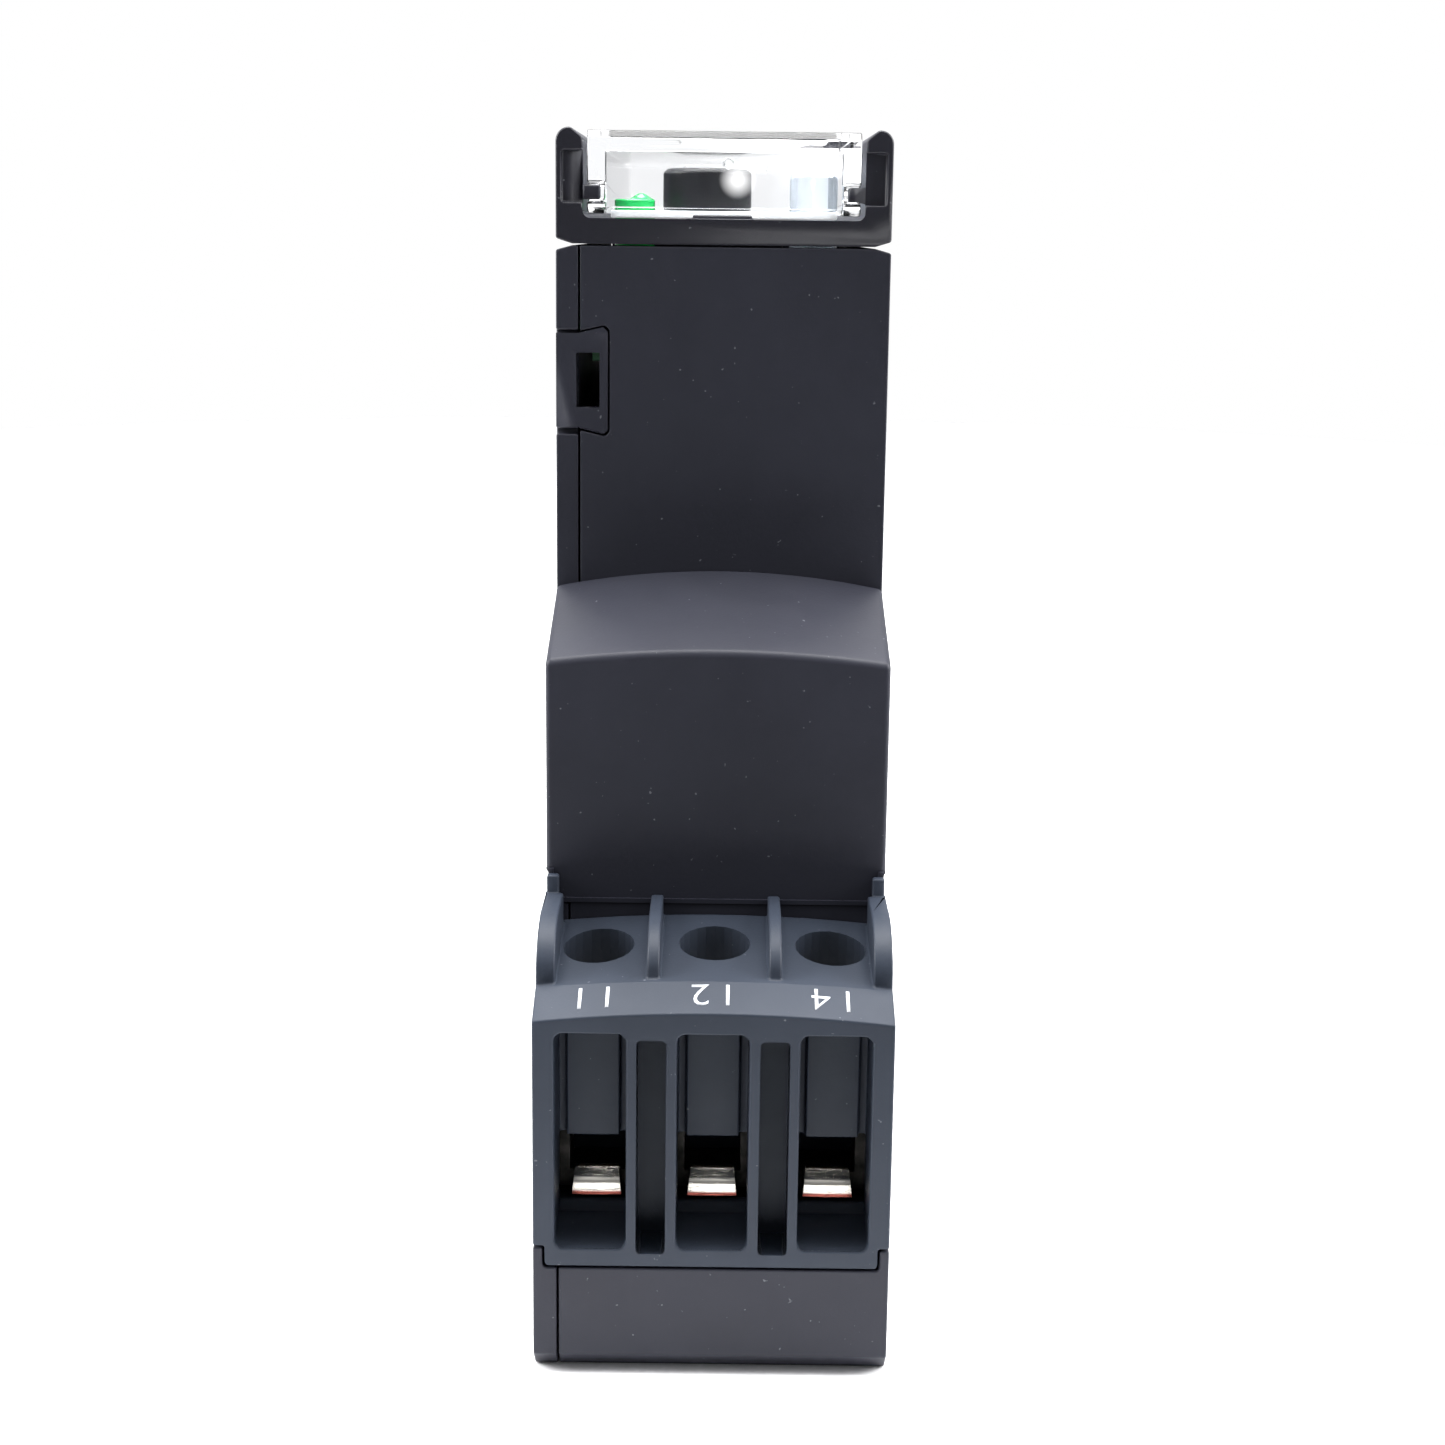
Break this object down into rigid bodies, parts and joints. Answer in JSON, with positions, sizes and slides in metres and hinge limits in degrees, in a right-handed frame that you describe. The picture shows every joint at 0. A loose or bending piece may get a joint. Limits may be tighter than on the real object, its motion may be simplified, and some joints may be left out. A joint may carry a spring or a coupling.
{
  "type": "industrial control relay",
  "caption": "Narrow DIN-rail timing relay with a stepped anthracite housing, screw terminals at both ends, setting knobs under a hinged clear cover, and a sprung rail foot.",
  "frame": {"origin": "centre of the footprint on the rail side (the plane the relay stands on)", "axes": "+Z from the rail side to the operating face, +X across the width, +Y towards the lower terminal row and the rail foot"},
  "size_m": [0.0226, 0.09, 0.078],
  "materials": {
    "housing_plastic": "moulded glass-filled polyamide, fine matt grain",
    "block_plastic": "moulded glass-filled polyamide, fine matt grain",
    "frame_plastic": "moulded polycarbonate blend, satin",
    "clear_polycarbonate": "clear moulded polycarbonate, polished",
    "face_plate_plastic": "light grey moulded plate, satin",
    "foot_plastic": "moulded black acetal, satin",
    "knob_plastic": "moulded black, semi-gloss",
    "green_lens": "translucent green, polished",
    "clear_lens": "clear water-white, polished",
    "circuit_board": "green solder mask, semi-gloss",
    "component_plastic": "moulded epoxy, matt",
    "film_capacitor_case": "grey moulded case, satin",
    "varistor_coating": "dipped epoxy coating, gloss",
    "capacitor_sleeve": "shrunk sleeve, gloss",
    "relay_case_plastic": "moulded polyester, satin",
    "enamelled_copper": "enamelled copper winding",
    "zinc_steel": "zinc plated, satin",
    "nickel_plate": "nickel plated, bright with stamped edges",
    "tinned_copper": "tinned copper alloy, satin",
    "spring_steel": "drawn spring wire"
  },
  "bodies": {
    "housing": {"housing_main": "housing_plastic", "side_cover": "housing_plastic", "step_cover_top": "housing_plastic", "step_cover_bottom": "housing_plastic", "terminal_block_top": "block_plastic", "terminal_block_bottom": "block_plastic", "front_frame": "frame_plastic", "face_plate": "face_plate_plastic", "lens_green": "green_lens", "led_green": "green_lens", "lens_clear": "clear_lens", "led_red": "clear_lens", "main_board": "circuit_board", "front_board": "circuit_board", "potentiometer_time": "component_plastic", "potentiometer_range": "component_plastic", "potentiometer_function": "component_plastic", "board_header": "component_plastic", "relay_base": "component_plastic", "microcontroller": "component_plastic", "bridge_rectifier": "component_plastic", "film_capacitor": "film_capacitor_case", "varistor": "varistor_coating", "electrolytic_capacitor": "capacitor_sleeve", "relay_case": "relay_case_plastic", "relay_coil": "enamelled_copper", "relay_yoke": "zinc_steel", "busbar_top_1": "tinned_copper", "busbar_top_2": "tinned_copper", "busbar_top_3": "tinned_copper", "busbar_bottom_1": "tinned_copper", "busbar_bottom_2": "tinned_copper", "busbar_bottom_3": "tinned_copper", "relay_contact_closed": "tinned_copper", "relay_contact_open": "tinned_copper", "din_foot_spring": "spring_steel"},
    "cover": {"clear_cover": "clear_polycarbonate"},
    "foot": {"din_foot": "foot_plastic"},
    "time_knob": {"knob_time": "knob_plastic"},
    "range_knob": {"knob_range": "knob_plastic"},
    "function_knob": {"knob_function": "knob_plastic"},
    "screw_top_1": {"clamp_screw_top_1": "nickel_plate"},
    "clamp_top_1": {"clamp_cage_top_1": "nickel_plate"},
    "screw_top_2": {"clamp_screw_top_2": "nickel_plate"},
    "clamp_top_2": {"clamp_cage_top_2": "nickel_plate"},
    "screw_top_3": {"clamp_screw_top_3": "nickel_plate"},
    "clamp_top_3": {"clamp_cage_top_3": "nickel_plate"},
    "screw_bottom_1": {"clamp_screw_bottom_1": "nickel_plate"},
    "clamp_bottom_1": {"clamp_cage_bottom_1": "nickel_plate"},
    "screw_bottom_2": {"clamp_screw_bottom_2": "nickel_plate"},
    "clamp_bottom_2": {"clamp_cage_bottom_2": "nickel_plate"},
    "screw_bottom_3": {"clamp_screw_bottom_3": "nickel_plate"},
    "clamp_bottom_3": {"clamp_cage_bottom_3": "nickel_plate"},
    "armature": {"relay_armature": "zinc_steel", "relay_contact_moving": "tinned_copper"}
  },
  "joints": [
    {"name": "cover_hinge", "type": "hinge", "parent": "housing", "child": "cover", "pos_m": [0, -0.0216, 0.0738], "axis": [1, 0, 0], "range_deg": [0, 110]},
    {"name": "foot_slide", "type": "slide", "parent": "housing", "child": "foot", "axis": [0, 1, 0], "range_m": [0, 0.004], "stiffness_N_per_m": 1500, "springref_m": -0.003, "deforming": ["din_foot_spring"]},
    {"name": "time_knob_turn", "type": "hinge", "parent": "housing", "child": "time_knob", "pos_m": [-0.0012, -0.0135, 0.074], "axis": [0, 0, 1], "range_deg": [-135, 135]},
    {"name": "range_knob_turn", "type": "hinge", "parent": "housing", "child": "range_knob", "pos_m": [-0.0012, 0, 0.074], "axis": [0, 0, 1], "range_deg": [-135, 135]},
    {"name": "function_knob_turn", "type": "hinge", "parent": "housing", "child": "function_knob", "pos_m": [-0.0012, 0.0135, 0.074], "axis": [0, 0, 1], "range_deg": [-135, 135]},
    {"name": "screw_top_1_turn", "type": "hinge", "parent": "housing", "child": "screw_top_1", "pos_m": [-0.0075, -0.03715, 0.02], "axis": [0, 0, -1], "range_deg": [0, 2088]},
    {"name": "clamp_top_1_lift", "type": "slide", "parent": "housing", "child": "clamp_top_1", "axis": [0, 0, 1], "range_m": [0, 0.0029]},
    {"name": "screw_top_2_turn", "type": "hinge", "parent": "housing", "child": "screw_top_2", "pos_m": [0, -0.03715, 0.02], "axis": [0, 0, -1], "range_deg": [0, 2088]},
    {"name": "clamp_top_2_lift", "type": "slide", "parent": "housing", "child": "clamp_top_2", "axis": [0, 0, 1], "range_m": [0, 0.0029]},
    {"name": "screw_top_3_turn", "type": "hinge", "parent": "housing", "child": "screw_top_3", "pos_m": [0.0075, -0.03715, 0.02], "axis": [0, 0, -1], "range_deg": [0, 2088]},
    {"name": "clamp_top_3_lift", "type": "slide", "parent": "housing", "child": "clamp_top_3", "axis": [0, 0, 1], "range_m": [0, 0.0029]},
    {"name": "screw_bottom_1_turn", "type": "hinge", "parent": "housing", "child": "screw_bottom_1", "pos_m": [-0.0075, 0.03715, 0.02], "axis": [0, 0, -1], "range_deg": [0, 2088]},
    {"name": "clamp_bottom_1_lift", "type": "slide", "parent": "housing", "child": "clamp_bottom_1", "axis": [0, 0, 1], "range_m": [0, 0.0029]},
    {"name": "screw_bottom_2_turn", "type": "hinge", "parent": "housing", "child": "screw_bottom_2", "pos_m": [0, 0.03715, 0.02], "axis": [0, 0, -1], "range_deg": [0, 2088]},
    {"name": "clamp_bottom_2_lift", "type": "slide", "parent": "housing", "child": "clamp_bottom_2", "axis": [0, 0, 1], "range_m": [0, 0.0029]},
    {"name": "screw_bottom_3_turn", "type": "hinge", "parent": "housing", "child": "screw_bottom_3", "pos_m": [0.0075, 0.03715, 0.02], "axis": [0, 0, -1], "range_deg": [0, 2088]},
    {"name": "clamp_bottom_3_lift", "type": "slide", "parent": "housing", "child": "clamp_bottom_3", "axis": [0, 0, 1], "range_m": [0, 0.0029]},
    {"name": "armature_swing", "type": "hinge", "parent": "housing", "child": "armature", "pos_m": [-0.00485, -0.0012, 0.01735], "axis": [0, 0, 1], "range_deg": [0, 4.3], "stiffness_Nm_per_rad": 0.02, "springref_deg": -4.58}
  ],
  "couplings": [
    {"joint": "screw_top_1_turn", "follows": "clamp_top_1_lift", "rad_per_m": 12566},
    {"joint": "screw_top_2_turn", "follows": "clamp_top_2_lift", "rad_per_m": 12566},
    {"joint": "screw_top_3_turn", "follows": "clamp_top_3_lift", "rad_per_m": 12566},
    {"joint": "screw_bottom_1_turn", "follows": "clamp_bottom_1_lift", "rad_per_m": 12566},
    {"joint": "screw_bottom_2_turn", "follows": "clamp_bottom_2_lift", "rad_per_m": 12566},
    {"joint": "screw_bottom_3_turn", "follows": "clamp_bottom_3_lift", "rad_per_m": 12566}
  ]
}
